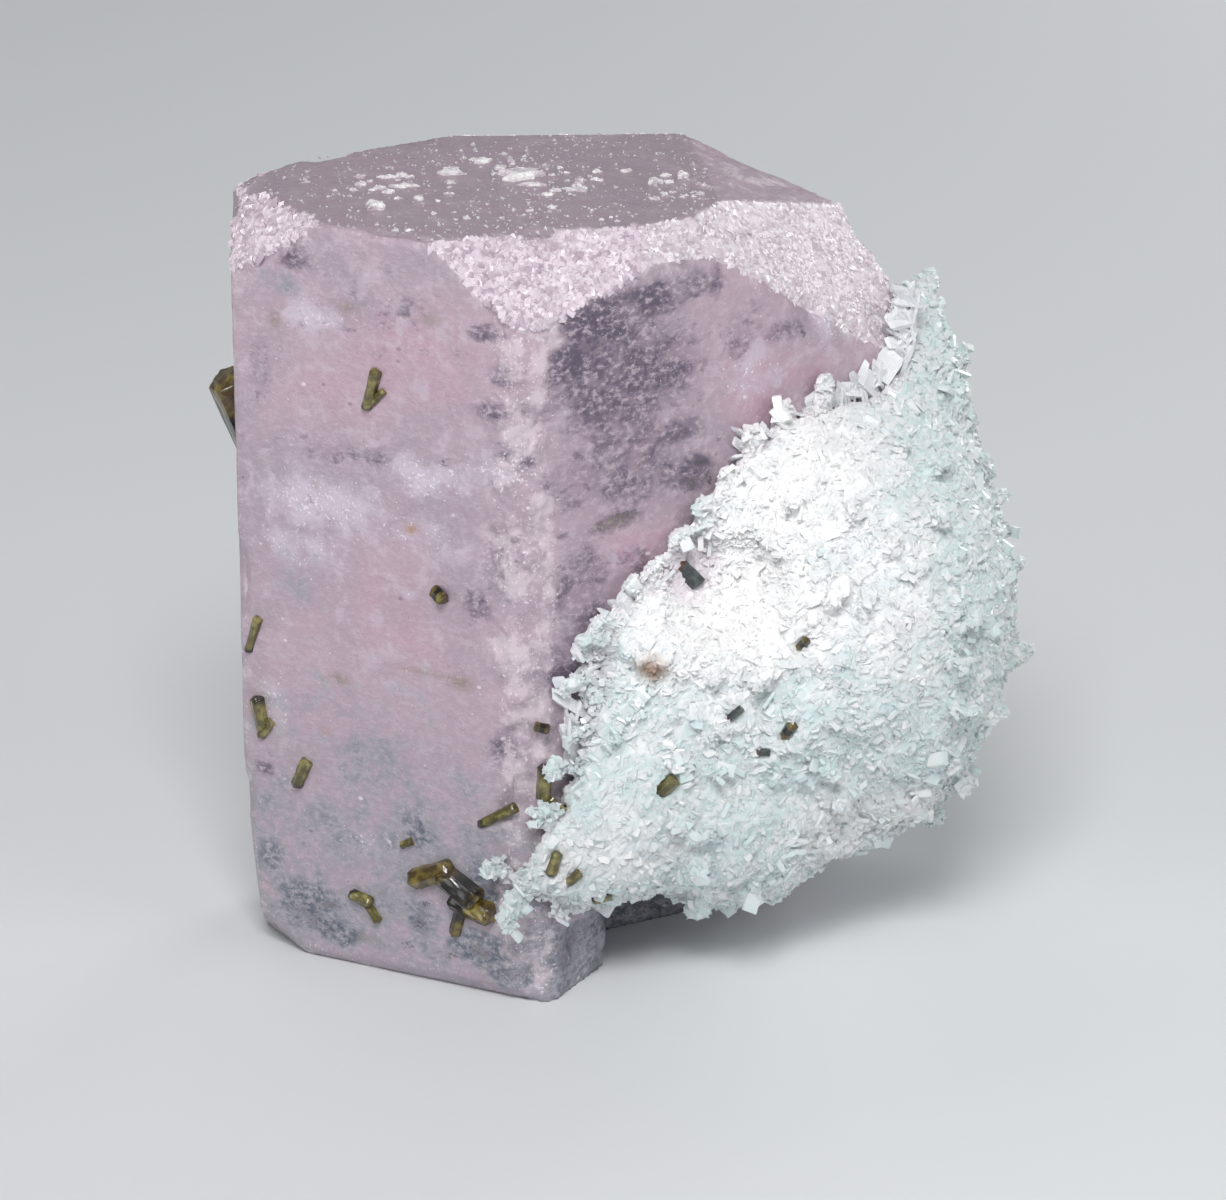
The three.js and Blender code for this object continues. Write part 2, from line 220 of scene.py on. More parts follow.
def patches(face, spots):
    """Soft patches on a prism face: side, height, half width, half height in millimetres, strength.

    Side runs along the face to the right, from the point nearest the prism's axis."""
    azimuth = math.radians(face[0])
    reach = face[1]
    across = (points[:, 1] * math.cos(azimuth) - points[:, 0] * math.sin(azimuth)) / MM
    depth = (points[:, 0] * math.cos(azimuth) + points[:, 1] * math.sin(azimuth)) / MM - reach
    total = np.zeros(len(points))
    for side, height, half_width, half_height, strength in spots:
        away = np.hypot((across - side) / half_width, (points[:, 2] / MM - height) / half_height)
        total = np.maximum(total, strength * smoothstep(1, 0.15, away) * smoothstep(3.0, 1.2, abs(depth)))
    return total


violet = patches(RIGHT_FACE, [
    (-2.5, 42.0, 10.0, 7.0, 0.72), (-2.0, 36.0, 10.0, 6.0, 0.56), (-5.5, 27.0, 4.5, 9.0, 0.5),
    (-4.4, 45.6, 4.6, 3.2, 1.0), (-6.4, 43.4, 3.4, 2.8, 0.9), (-0.4, 46.8, 4.6, 2.2, 0.8),
    (3.0, 47.2, 4.0, 1.8, 0.62), (0.8, 41.8, 5.0, 1.9, 0.72), (-4.4, 40.2, 4.6, 1.8, 0.68),
    (-3.0, 37.2, 7.0, 2.4, 0.55), (1.8, 37.6, 3.2, 2.0, 0.66), (2.6, 34.8, 3.0, 2.2, 0.75),
    (-3.0, 32.4, 4.5, 1.2, 0.6), (-6.8, 28.4, 3.0, 4.0, 0.52), (-6.6, 22.4, 2.6, 3.0, 0.7),
    (9.6, 42.8, 3.4, 1.6, 0.5), (-1.4, 29.6, 3.0, 2.0, 0.45), (6.4, 43.4, 3.0, 3.0, 0.42),
])
violet = np.maximum(violet, patches(LEFT_FACE, [
    (1.6, 45.6, 2.8, 1.1, 0.68), (2.9, 43.0, 2.4, 1.3, 0.64), (1.9, 40.6, 2.8, 1.2, 0.62),
    (3.6, 37.6, 2.4, 1.6, 0.6), (2.6, 30.6, 2.6, 5.0, 0.52), (0.8, 27.4, 2.4, 2.4, 0.5),
    (-12.4, 48.4, 2.6, 1.4, 0.6), (-15.0, 41.0, 1.8, 4.0, 0.42), (-6.4, 36.2, 2.0, 1.4, 0.55),
    (-15.4, 13.0, 1.5, 1.0, 0.75), (2.6, 17.6, 2.2, 3.0, 0.5), (-10.0, 36.0, 5.0, 1.6, 0.4),
    (-6.4, 46.0, 9.0, 4.5, 0.29),
]))
behind = points[:, 1] > 2 * MM
violet = np.maximum(violet, 0.62 * smoothstep(0.25, 0.9, clouds(points, 11.0, 2)) * behind)
ink = patches(RIGHT_FACE, [
    (3.4, 35.2, 2.0, 0.8, 1.0), (2.6, 33.8, 1.2, 1.2, 0.9), (3.9, 34.0, 0.7, 1.0, 0.9),
    (-2.6, 32.7, 3.0, 0.6, 0.95), (-5.0, 44.4, 2.6, 1.5, 0.7), (11.0, 42.4, 0.5, 0.8, 1.0),
    (-6.4, 21.4, 1.6, 1.2, 0.7), (0.2, 40.8, 2.6, 0.9, 0.6), (-6.4, 3.0, 3.2, 2.6, 0.8),
])
ink = np.maximum(ink, patches(LEFT_FACE, [
    (-1.6, 36.6, 1.0, 0.7, 0.9), (-16.3, 33.3, 0.8, 0.5, 0.9), (-3.8, 4.3, 1.1, 0.9, 1.0),
    (-3.3, 5.7, 1.0, 0.7, 0.9), (-4.8, 2.6, 1.0, 0.6, 0.9), (-1.8, 2.5, 2.2, 0.6, 0.9),
    (0.8, 3.2, 2.6, 1.0, 0.75), (3.0, 1.9, 1.8, 0.9, 0.75), (-10.4, 4.2, 2.4, 0.6, 0.8),
    (-12.4, 3.0, 2.8, 1.6, 0.7), (2.0, 8.4, 2.0, 1.8, 0.75), (5.0, 7.9, 1.8, 1.0, 0.7),
]))
blue = patches(LEFT_FACE, [
    (-5.0, 16.6, 5.0, 3.4, 0.5), (-3.7, 10.8, 3.2, 3.0, 0.95), (-12.2, 3.9, 5.0, 3.8, 1.2),
    (-10.0, 2.5, 4.0, 2.4, 1.2), (-15.0, 6.6, 3.0, 4.0, 0.9), (0.9, 3.5, 5.0, 2.6, 1.2),
    (3.0, 1.9, 3.4, 2.2, 1.2), (1.8, 8.4, 4.0, 3.6, 1.2), (4.6, 7.4, 4.2, 3.2, 1.1),
    (4.6, 4.6, 4.0, 3.4, 1.0), (-3.6, 4.8, 3.0, 3.2, 0.9), (-12.0, 27.0, 6.0, 5.0, 0.5),
    (-13.5, 46.8, 3.4, 2.0, 0.55), (-9.5, 11.5, 3.0, 2.5, 0.45), (-7.0, 15.0, 8.0, 5.0, 0.68),
])
# Towards the bottom the crystal darkens to blue-grey on every side, most at the right end of its foot.
toe = np.clip(2.0 - points[:, 2] / (4 * MM), 0, 1) * smoothstep(-7, -1, points[:, 0] / MM)
blue = np.maximum(np.maximum(blue, toe), 0.62 * smoothstep(30, 9, points[:, 2] / MM))
veil = patches(LEFT_FACE, [
    (-10.5, 32.4, 7.5, 3.2, 0.9), (-3.0, 35.4, 5.0, 2.2, 0.85), (2.2, 36.6, 3.4, 1.6, 0.7),
    (-11.0, 44.8, 3.6, 1.3, 0.8), (-12.5, 29.0, 6.0, 2.6, 0.6), (-4.0, 31.6, 6.0, 2.0, 0.55),
    (-14.8, 18.0, 2.2, 3.4, 0.8), (-8.0, 9.4, 3.0, 1.2, 0.6),
])
veil = np.maximum(veil, patches(RIGHT_FACE, [
    (7.0, 40.2, 4.0, 3.4, 0.6), (14.0, 42.8, 4.0, 2.6, 0.7), (0, 27.8, 3.0, 1.4, 0.7),
]))
blush = patches(LEFT_FACE, [
    (-3.4, 43.0, 7.5, 6.0, 0.75), (-4.4, 25.6, 9.0, 5.0, 0.7), (-9.0, 39.6, 6.0, 4.0, 0.5),
])
blush = np.maximum(blush, patches(RIGHT_FACE, [
    (7.4, 39.4, 3.4, 5.0, 1.0), (11.0, 40.2, 4.0, 2.6, 0.9), (-1.6, 30.4, 5.0, 2.6, 0.9),
    (5.4, 32.4, 1.6, 3.0, 0.9),
]))
olive = patches(LEFT_FACE, [
    (-13.8, 44.2, 0.7, 0.9, 0.8), (-8.4, 45.8, 0.9, 0.6, 0.7), (-2.4, 45.9, 1.0, 0.7, 0.55),
    (-0.5, 21.9, 1.5, 0.8, 0.8), (-3.0, 22.1, 3.4, 0.4, 0.6), (-9.5, 20.5, 1.2, 0.7, 0.8),
    (-15.6, 17.4, 1.4, 2.4, 0.55), (-8.0, 2.4, 1.6, 0.6, 0.5),
])
olive = np.maximum(olive, patches(RIGHT_FACE, [
    (-3.4, 32.3, 2.0, 0.6, 0.6), (-8.4, 12.4, 1.6, 1.4, 0.5),
]))
amber = patches(LEFT_FACE, [
    (-3.9, 31.7, 0.8, 0.5, 1.0), (-10.8, 16.6, 0.6, 0.5, 0.5), (2.4, 9.4, 2.0, 0.8, 0.5),
])
store(morganite.data, "clouds", violet, ink, blue, veil)
# The fourth value kept with the stains is where painted glints gather: in the veils and along the worn
# edges.
store(morganite.data, "stains", olive, amber, blush, np.clip(veil + 0.6 * edge_wear, 0, 1))
reshape(morganite.data, points + normals * lift[:, None] * MM)


def paint(red, green, blue_light):
    """A colour as the photograph's display values, 0 to 255, in Blender's linear light."""
    parts = [value / 255 for value in (red, green, blue_light)]
    return tuple(p / 12.92 if p <= 0.04045 else ((p + 0.055) / 1.055) ** 2.4 for p in parts) + (1.0,)


def node(tree, kind, inputs=None, **settings):
    """Adds a shader node, sets its properties, and fills its sockets with values or links."""
    made = tree.nodes.new("ShaderNode" + kind)
    for key, value in settings.items():
        setattr(made, key, value)
    for key, value in (inputs or {}).items():
        socket = made.inputs[key]
        if isinstance(value, bpy.types.NodeSocket):
            tree.links.new(value, socket)
        else:
            socket.default_value = value
    return made


def maths(tree, operation, first, second=0.0):
    return node(tree, "Math", {0: first, 1: second}, operation=operation).outputs[0]


def times(tree, first, second):
    return maths(tree, "MULTIPLY", first, second)


def plus(tree, first, second):
    return maths(tree, "ADD", first, second)


def between(tree, value, low, high):
    """Rises smoothly from 0 at low to 1 at high."""
    inputs = {"Value": value, "From Min": low, "From Max": high}
    return node(tree, "MapRange", inputs, interpolation_type="SMOOTHSTEP").outputs["Result"]


def tint(tree, share, under, over):
    """Lays one colour over another by a share from 0 to 1."""
    return node(tree, "Mix", {0: share, 6: under, 7: over}, data_type="RGBA").outputs[2]


def cloud_node(tree, place, per_mm, detail=3.0, roughness=0.55, distortion=0.0):
    """Noise from 0 to 1 with about this many features to a millimetre."""
    inputs = {"Vector": place, "Scale": per_mm, "Detail": detail}
    inputs.update({"Roughness": roughness, "Distortion": distortion})
    return node(tree, "TexNoise", inputs).outputs["Fac"]


def stored(tree, name):
    """The first three values kept for each point under a name, and the fourth."""
    kept = node(tree, "VertexColor", layer_name=name)
    first_three = node(tree, "SeparateColor", {0: kept.outputs["Color"]}).outputs
    return list(first_three) + [kept.outputs["Alpha"]]


def place_in_mm(tree):
    """The place on the piece, in millimetres."""
    where = node(tree, "TexCoord").outputs["Object"]
    return node(tree, "VectorMath", {0: where, "Scale": 1000.0}, operation="SCALE").outputs[0]


def new_material(name):
    """A material with one Principled shader: the material, its node tree and the shader."""
    material = bpy.data.materials.new(name)
    material.use_nodes = True
    tree = material.node_tree
    tree.nodes.clear()
    output = tree.nodes.new("ShaderNodeOutputMaterial")
    shader = tree.nodes.new("ShaderNodeBsdfPrincipled")
    tree.links.new(shader.outputs[0], output.inputs["Surface"])
    return material, tree, shader


def new_group(name, inputs, outputs):
    """A shader node group with named sockets, each given as (name, socket type)."""
    group = bpy.data.node_groups.new(name, "ShaderNodeTree")
    for socket_name, socket_type in inputs:
        group.interface.new_socket(socket_name, in_out="INPUT", socket_type=socket_type)
    for socket_name, socket_type in outputs:
        group.interface.new_socket(socket_name, in_out="OUTPUT", socket_type=socket_type)
    starts = group.nodes.new("NodeGroupInput").outputs
    ends = group.nodes.new("NodeGroupOutput").inputs
    return group, starts, ends


# Scattered specks, one in each cell of a grid. The share of cells given by Amount holds light specks,
# which the crystal uses as painted shine, and as large a share holds dark ones.
speck_group, speck_in, speck_out = new_group(
    "specks",
    [
        ("Place", "NodeSocketVector"),
        ("Per mm", "NodeSocketFloat"),
        ("Amount", "NodeSocketFloat"),
        ("Size", "NodeSocketFloat"),
    ],
    [("Light", "NodeSocketFloat"), ("Dark", "NodeSocketFloat")],
)
grid = node(speck_group, "TexVoronoi", {"Vector": speck_in["Place"], "Scale": speck_in["Per mm"]})
number = node(speck_group, "SeparateColor", {0: grid.outputs["Color"]}).outputs[0]
inner_size = times(speck_group, speck_in["Size"], 0.6)
core = between(speck_group, grid.outputs["Distance"], speck_in["Size"], inner_size)
light = maths(speck_group, "LESS_THAN", number, speck_in["Amount"])
dark_above = maths(speck_group, "SUBTRACT", 1.0, speck_in["Amount"])
dark = maths(speck_group, "GREATER_THAN", number, dark_above)
speck_group.links.new(times(speck_group, light, core), speck_out["Light"])
speck_group.links.new(times(speck_group, dark, core), speck_out["Dark"])

# Ragged clouds: noise cut off at a level that falls as Amount rises, from none at 0 to solid at 1.
ragged_group, ragged_in, ragged_out = new_group(
    "ragged_clouds",
    [("Noise", "NodeSocketFloat"), ("Amount", "NodeSocketFloat"), ("Softness", "NodeSocketFloat")],
    [("Mask", "NodeSocketFloat")],
)
HIGHEST_LEVEL = 0.74
LEVEL_FALL = 0.42
fall = times(ragged_group, ragged_in["Amount"], LEVEL_FALL)
level = maths(ragged_group, "SUBTRACT", HIGHEST_LEVEL, fall)
high = plus(ragged_group, level, ragged_in["Softness"])
low = maths(ragged_group, "SUBTRACT", level, ragged_in["Softness"])
ragged_group.links.new(between(ragged_group, ragged_in["Noise"], low, high), ragged_out["Mask"])


def ragged(tree, grain_noise, amount, softness):
    """The ragged mask of a noise in a material."""
    inputs = {"Noise": grain_noise, "Amount": amount, "Softness": softness}
    return node(tree, "Group", inputs, node_tree=ragged_group).outputs["Mask"]


PINK = paint(186, 162, 176)
PALE_PINK = paint(209, 192, 203)
ROSE = paint(194, 159, 176)
ABSORBED_PINK = paint(226, 176, 200)
GREY_LILAC = paint(171, 156, 168)
VIOLET = paint(112, 98, 118)
DEEP_VIOLET = paint(70, 62, 84)
INK = paint(34, 34, 42)
BLUE_GREY = paint(148, 150, 158)
SLATE = paint(80, 90, 104)
TOP_GREY = paint(164, 148, 158)
VEIL_LILAC = paint(210, 198, 211)
OLIVE = paint(122, 112, 78)
AMBER = paint(170, 120, 62)
FROST_DULL = paint(208, 192, 203)
FROST_BRIGHT = paint(232, 222, 229)
FROST_GAP_SHADE = paint(190, 170, 183)
WORN_PINK = paint(220, 205, 213)
GLINT = paint(250, 244, 246)
PAINTED_SHINE_WHITE = paint(252, 246, 248)

milky_morganite, tree, shader = new_material("milky_morganite")
place = place_in_mm(tree)
frost, worn, top, _ = stored(tree, "zones")
grain_height, grain_tone, _, _ = stored(tree, "grains")
violet, ink, blue, veil = stored(tree, "clouds")
olive, amber, blush, sparkle = stored(tree, "stains")
# The crystal's colours from the bottom layer up: milk, veils, blue and violet clouds, ink, stains.
layered = node(tree, "Mapping", {"Vector": place, "Scale": (0.8, 0.8, 1.1)}).outputs[0]
milk = cloud_node(tree, place, 0.13, 3.0, 0.62, 0.7)
mottle = cloud_node(tree, place, 0.55, 4.0, 0.68, 0.3)
streaks = cloud_node(tree, layered, 0.7, 4.0, 0.68, 0.5)
grain = cloud_node(tree, layered, 2.4, 3.0, 0.7)
glint_noise = cloud_node(tree, place, 4.6, 2.0, 0.6)

colour = tint(tree, between(tree, milk, 0.36, 0.66), GREY_LILAC, PINK)
colour = tint(tree, times(tree, blush, between(tree, milk, 0.2, 0.55)), colour, ROSE)
colour = tint(tree, times(tree, between(tree, mottle, 0.48, 0.72), 0.8), colour, PALE_PINK)
veil_mask = ragged(tree, mottle, veil, 0.2)
colour = tint(tree, times(tree, veil_mask, 0.9), colour, VEIL_LILAC)
blotches = times(tree, plus(tree, milk, mottle), 0.5)
blue_mask = ragged(tree, blotches, blue, 0.1)
colour = tint(tree, times(tree, blue_mask, 0.85), colour, BLUE_GREY)
slate_amount = times(tree, between(tree, blue, 0.35, 1.15), 0.78)
slate_mask = ragged(tree, mottle, slate_amount, 0.16)
slate = tint(tree, between(tree, grain, 0.36, 0.68), SLATE, BLUE_GREY)
colour = tint(tree, times(tree, slate_mask, 0.9), colour, slate)
shade = times(tree, between(tree, violet, 0.15, 1.0), 0.95)
colour = tint(tree, shade, colour, VIOLET)
dark = tint(tree, between(tree, grain, 0.35, 0.65), DEEP_VIOLET, VIOLET)
dark_mask = ragged(tree, streaks, violet, 0.12)
colour = tint(tree, times(tree, dark_mask, 0.72), colour, dark)
flecks = times(tree, between(tree, grain, 0.53, 0.66), times(tree, violet, 0.75))
colour = tint(tree, flecks, colour, PALE_PINK)
ink_mask = ragged(tree, grain, times(tree, ink, 0.62), 0.05)
colour = tint(tree, ink_mask, colour, INK)
colour = tint(tree, times(tree, olive, between(tree, grain, 0.3, 0.6)), colour, OLIVE)
colour = tint(tree, times(tree, amber, between(tree, grain, 0.3, 0.55)), colour, AMBER)
colour = tint(tree, times(tree, between(tree, grain, 0.42, 0.7), 0.35), colour, PALE_PINK)
speck_inputs = {"Place": layered, "Per mm": 0.8, "Amount": 0.1, "Size": 0.14}
specks = node(tree, "Group", speck_inputs, node_tree=speck_group).outputs
colour = tint(tree, times(tree, specks["Dark"], 0.5), colour, VIOLET)
colour = tint(tree, times(tree, top, 0.6), colour, TOP_GREY)

# Over those lie the frost on the bevels, with painted shade in its gaps, the worn edges, and painted
# glints and shine specks.
frost_colour = tint(tree, grain_tone, FROST_DULL, FROST_BRIGHT)
# Painted shade darkens the frost in the low gaps between its grains.
frost_gap_shade = times(tree, between(tree, grain_height, 0.32, 0.0), 0.75)
frost_colour = tint(tree, frost_gap_shade, frost_colour, FROST_GAP_SHADE)
frost_mask = ragged(tree, mottle, frost, 0.1)
colour = tint(tree, frost_mask, colour, frost_colour)
worn_mask = ragged(tree, mottle, times(tree, worn, 0.58), 0.09)
colour = tint(tree, times(tree, worn_mask, 0.7), colour, WORN_PINK)
# Painted glints and white shine specks stand in for tiny highlights on the surface.
glint_amount = plus(tree, 0.03, times(tree, sparkle, 0.32))
glints = ragged(tree, glint_noise, glint_amount, 0.025)
colour = tint(tree, times(tree, glints, 0.6), colour, GLINT)
colour = tint(tree, times(tree, specks["Light"], 0.5), colour, PAINTED_SHINE_WHITE)

bump = node(tree, "Bump", {"Height": grain, "Strength": 0.3, "Distance": 0.0003})
tree.links.new(colour, shader.inputs["Base Color"])
tree.links.new(bump.outputs[0], shader.inputs["Normal"])
tree.links.new(plus(tree, 0.16, times(tree, mottle, 0.36)), shader.inputs["Roughness"])
shader.inputs["IOR"].default_value = BERYL_IOR
shader.inputs["Transmission Weight"].default_value = 0.08
shader.inputs["Subsurface Weight"].default_value = 0.15
shader.inputs["Subsurface Radius"].default_value = (1.0, 0.7, 0.9)
shader.inputs["Subsurface Scale"].default_value = 0.0025
absorption = node(tree, "VolumeAbsorption", {"Color": ABSORBED_PINK, "Density": 60.0})
tree.links.new(absorption.outputs[0], tree.nodes["Material Output"].inputs["Volume"])
morganite.data.materials.append(milky_morganite)
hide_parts("morganite_crystal")
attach(morganite, "root")


# Frost: a druse of tiny blunt grains of the same pink beryl, all under a millimetre, grown close
# together on the bevels around the crystal's top, coarse in front and fine to the right.
FROST_TRIES = 110000
FROST_LEAN = 0.25
LOWEST_FROST = 30 * MM
SEED = 7
rng = np.random.default_rng(SEED)
# A blunt grain as wide and long as 1, and the corners of its faces.
COBBLE = np.array([
    (-0.5, -0.5, 0), (0.5, -0.5, 0), (0.5, 0.5, 0), (-0.5, 0.5, 0),
    (-0.34, -0.3, 0.94), (0.3, -0.36, 0.9), (0.36, 0.28, 1.0), (-0.28, 0.36, 0.96),
])
COBBLE_FACES = [(3, 2, 1, 0), (0, 1, 5, 4), (1, 2, 6, 5), (2, 3, 7, 6), (3, 0, 4, 7), (4, 5, 6, 7)]


def scatter(mesh, count):
    """Random places over a triangulated mesh, evenly by area, with the normals there."""
    mesh.calc_loop_triangles()
    corners = np.array([triangle.vertices[:] for triangle in mesh.loop_triangles])
    where = points_of(mesh)[corners]
    across = np.cross(where[:, 1] - where[:, 0], where[:, 2] - where[:, 0])
    area = np.linalg.norm(across, axis=1)
    chosen = rng.choice(len(area), count, p=area / area.sum())
    shares = rng.dirichlet((1, 1, 1), count)
    return (where[chosen] * shares[:, :, None]).sum(1), across[chosen] / area[chosen][:, None]


def unit(vectors):
    return vectors / np.linalg.norm(vectors, axis=1)[:, None]


def grow(name, template, faces, roots, axes, smallest, largest, sink, spread=0.3):
    """One joined mesh of crystals with random width, thickness and length in millimetres.

    Sink is the share of the length below the root. Spread is how much whole crystals differ in size."""
    count = len(roots)
    sizes = rng.uniform(smallest, largest, size=(count, 3))
    sizes = sizes * rng.lognormal(-0.1, spread, size=(count, 1)) * MM
    side = unit(np.cross(axes, rng.normal(size=(count, 3))))
    flat = np.cross(axes, side)
    shaped = (template[None] - np.array((0, 0, sink))) * sizes[:, None, :]
    grown = shaped[:, :, :1] * side[:, None] + shaped[:, :, 1:2] * flat[:, None]
    grown += shaped[:, :, 2:] * axes[:, None]
    grown += roots[:, None]
    grown[:, :, 2] = np.maximum(grown[:, :, 2], 0.1 * MM)
    mesh = bpy.data.meshes.new(name)
    step = len(template)
    mesh.from_pydata(
        grown.reshape(-1, 3).tolist(), [],
        [tuple(i * step + corner for corner in face) for i in range(count) for face in faces],
    )
    mesh.update()
    return object_from(name, mesh)


places, facing = scatter(morganite.data, FROST_TRIES)
depths = face_reaches[None, :] - places @ face_normals.T
nearest = depths.argmin(axis=1)
is_coarse = coarse_face[nearest]
on_bevel = (frosted_face[nearest] > 0.5) & (depths.min(axis=1) < 0.5 * MM)
on_bevel &= places[:, 2] > LOWEST_FROST
on_bevel &= is_coarse | (clouds(places, 2.2) + rng.uniform(-0.5, 0.5, FROST_TRIES) > -0.15)
places = places[on_bevel]
facing = facing[on_bevel]
is_coarse = is_coarse[on_bevel]
axes = unit(facing + FROST_LEAN * rng.normal(size=places.shape))
coarse_frost = grow(
    "coarse_frost", COBBLE, COBBLE_FACES, places[is_coarse], axes[is_coarse],
    smallest=(0.4, 0.36, 0.3), largest=(0.85, 0.75, 0.45), sink=0.8, spread=0.1,
)
fine_frost = grow(
    "fine_frost", COBBLE, COBBLE_FACES, places[~is_coarse], axes[~is_coarse],
    smallest=(0.28, 0.24, 0.2), largest=(0.6, 0.5, 0.35), sink=0.8, spread=0.1,
)


def frost_material(name, gap, crest):
    """Glassy grains whose tones run from one colour to another."""
    material, tree, shader = new_material(name)
    each = node(tree, "NewGeometry").outputs["Random Per Island"]
    haze = cloud_node(tree, place_in_mm(tree), 0.6, 3.0)
    bright = plus(tree, times(tree, each, 0.7), times(tree, haze, 0.5))
    tree.links.new(tint(tree, between(tree, bright, 0.1, 0.95), gap, crest), shader.inputs["Base Color"])
    tree.links.new(plus(tree, 0.15, times(tree, haze, 0.3)), shader.inputs["Roughness"])
    shader.inputs["IOR"].default_value = BERYL_IOR
    return material


coarse_white = frost_material("coarse_frost", paint(176, 158, 171), paint(228, 215, 224))
fine_white = frost_material("fine_frost", paint(192, 177, 187), paint(238, 230, 235))
for piece, finish in ((coarse_frost, coarse_white), (fine_frost, fine_white)):
    piece.data.materials.append(finish)
    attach(piece, "root")


# Albite crust: a mass of icy white to pale aqua grains and blades, most under a millimetre, grown
# together around the right end of the prism, with longer blades lying on the pink face along its rim.
CRUST_VOXEL = 0.32 * MM
FACET_JITTER = 0.07 * MM
# How many crystals of each form are tried. Those that fall on the crystal or a tourmaline are left out.
SUGAR_TRIES = 32000
GRIT_TRIES = 8000
BLADE_TRIES = 4000
RIME_TRIES = 40000
RIM_BLADE_TRIES = 260
FLOOR_GAP = 0.8 * MM
ALBITE_IOR = 1.53
# A ledge runs across the crust's front, falling to the right, with a hollow below it.
LEDGE_HEIGHT = 25.4
LEDGE_FALL = 0.33
LEDGE_DEPTH = 1.1
# Around a tourmaline the crust grows up to it, and the hollow fades out over these distances.
ROD_MARGINS = (0.6, 1.0, 1.4, 1.8, 2.2, 2.6)
# A bay in the crust's edge, where the pink face and a tourmaline show. Places are on the right face.
BAY_SIDE = 2.1
BAY_HEIGHT = 28.4
BAY_RADIUS = 1.7
# The crust's edge on the right face, from the top down: side and height.
RIM = [
    (19, 43.4), (18.7, 39.2), (13.6, 37.8), (10.2, 36), (6.5, 36.1), (6.1, 30.7), (2.5, 28.7),
    (-3.9, 25.5), (-8.1, 15.7),
]
# Crystals as wide and long as 1, and the corners of their faces: a wedge, a splinter and a blade.
CHISEL = np.array([
    (-0.5, -0.5, 0), (0.5, -0.5, 0), (0.5, 0.5, 0), (-0.5, 0.5, 0), (-0.25, 0, 1.0), (0.3, 0, 0.85),
])
CHISEL_FACES = [(3, 2, 1, 0), (0, 1, 5, 4), (1, 2, 5), (2, 3, 4, 5), (3, 0, 4)]
SHARD = np.array([(0.5, 0, 0), (-0.25, 0.43, 0), (-0.25, -0.43, 0), (0.1, 0.05, 1.0)])
SHARD_FACES = [(2, 1, 0), (0, 1, 3), (1, 2, 3), (2, 0, 3)]
BLADE = np.array([
    (-0.5, -0.5, 0), (0.5, -0.5, 0), (0.5, 0.5, 0), (-0.5, 0.5, 0), (-0.45, -0.5, 0.84),
    (0.5, -0.5, 0.74), (0.5, 0.5, 0.74), (-0.45, 0.5, 0.84), (-0.36, 0, 1.0), (0.4, 0, 0.9),
])
BLADE_FACES = [
    (3, 2, 1, 0), (0, 1, 5, 4), (1, 2, 6, 5), (2, 3, 7, 6), (3, 0, 4, 7), (4, 5, 9, 8), (6, 7, 8, 9),
    (5, 6, 9), (7, 4, 8),
]
# Where the ice is whitest, seen from the front, its own white with painted light on the lit plateau: x,
# z, half width, half height and strength.
WHITE_AND_LIT_PATCHES = [
    (10.9, 26.5, 8.0, 5.5, 1.0), (14.0, 34.5, 7.0, 6.0, 0.75), (3.0, 11.7, 6.0, 3.2, 0.3),
    (8.0, 18.7, 7.0, 4.0, 0.22), (19.0, 11.2, 7.0, 3.0, 0.45), (20.0, 27.0, 4.0, 6.0, 0.5),
    (8.0, 36.0, 3.0, 3.0, 0.8),
]

crust = object_from("albite", frame["nodes"]["albite_crust"].data.copy())
crust.data.materials.clear()
voxel_remesh(crust, CRUST_VOXEL)
points = points_of(crust.data)
normals = normals_of(crust.data)
x, _, z = points.T / MM
below_ledge = LEDGE_HEIGHT - LEDGE_FALL * x - z
hollow = smoothstep(-0.2, 1.2, below_ledge) * smoothstep(10, 3, below_ledge)
hollow *= smoothstep(0, 3, x) * smoothstep(20, 12, x) * (normals[:, 1] < 0.2)
grain_heights, grain_tones = cells(points, 0.8)
lift = 0.28 * clouds(points, 2.4) + 0.14 * grain_heights - LEDGE_DEPTH * hollow


def near_tourmalines(places, margin):
    """Which places lie within a margin, in millimetres, of the box around any tourmaline."""
    near = np.zeros(len(places), bool)
    for name in frame["nodes"]:
        if name.startswith("tourmaline"):
            low, high = (np.array(corner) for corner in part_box(name))
            near |= np.all((places > low - margin * MM) & (places < high + margin * MM), axis=1)
    return near


def outside_crystal(places):
    """How far places lie outside the crystal's flat faces, in millimetres."""
    return -(face_reaches[None, :] - places @ face_normals.T).min(axis=1) / MM


# The hollow under the ledge grows shallower towards the tourmalines, which it would leave bare.
close = np.mean([near_tourmalines(points, margin) for margin in ROD_MARGINS], axis=0)
lift += LEDGE_DEPTH * hollow * close
# Low on the crystal the crust thins out towards its edge.
outside = outside_crystal(points)
lift -= 0.45 * smoothstep(2.2, 0.6, outside) * (z < 22) * (z > BREAK_CEILING)
# Close to a tourmaline the crust rises, so that no gap shows around it.
lift = np.where(near_tourmalines(points, ROD_MARGINS[0]), np.clip(lift, 0.15, 0.3), lift)
points += normals * lift[:, None] * MM
azimuth = math.radians(RIGHT_FACE[0])
reach = RIGHT_FACE[1]
outwards = np.array((math.cos(azimuth), math.sin(azimuth), 0))
sideways = np.array((-math.sin(azimuth), math.cos(azimuth), 0))
upwards = np.array((0, 0, 1))
# The bay is pressed down to just over the face, with sloping sides.
from_bay = np.hypot(points @ sideways / MM - BAY_SIDE, points[:, 2] / MM - BAY_HEIGHT)
over_face = points @ outwards / MM - reach
bay_ceiling = over_face - 0.3 - 0.9 * np.maximum(from_bay - BAY_RADIUS, 0)
too_high = np.maximum(bay_ceiling, 0) * (from_bay < 2.5 * BAY_RADIUS)
points -= np.outer(too_high * MM, outwards)
reshape(crust.data, points + rng.normal(scale=FACET_JITTER, size=points.shape), smooth=False)


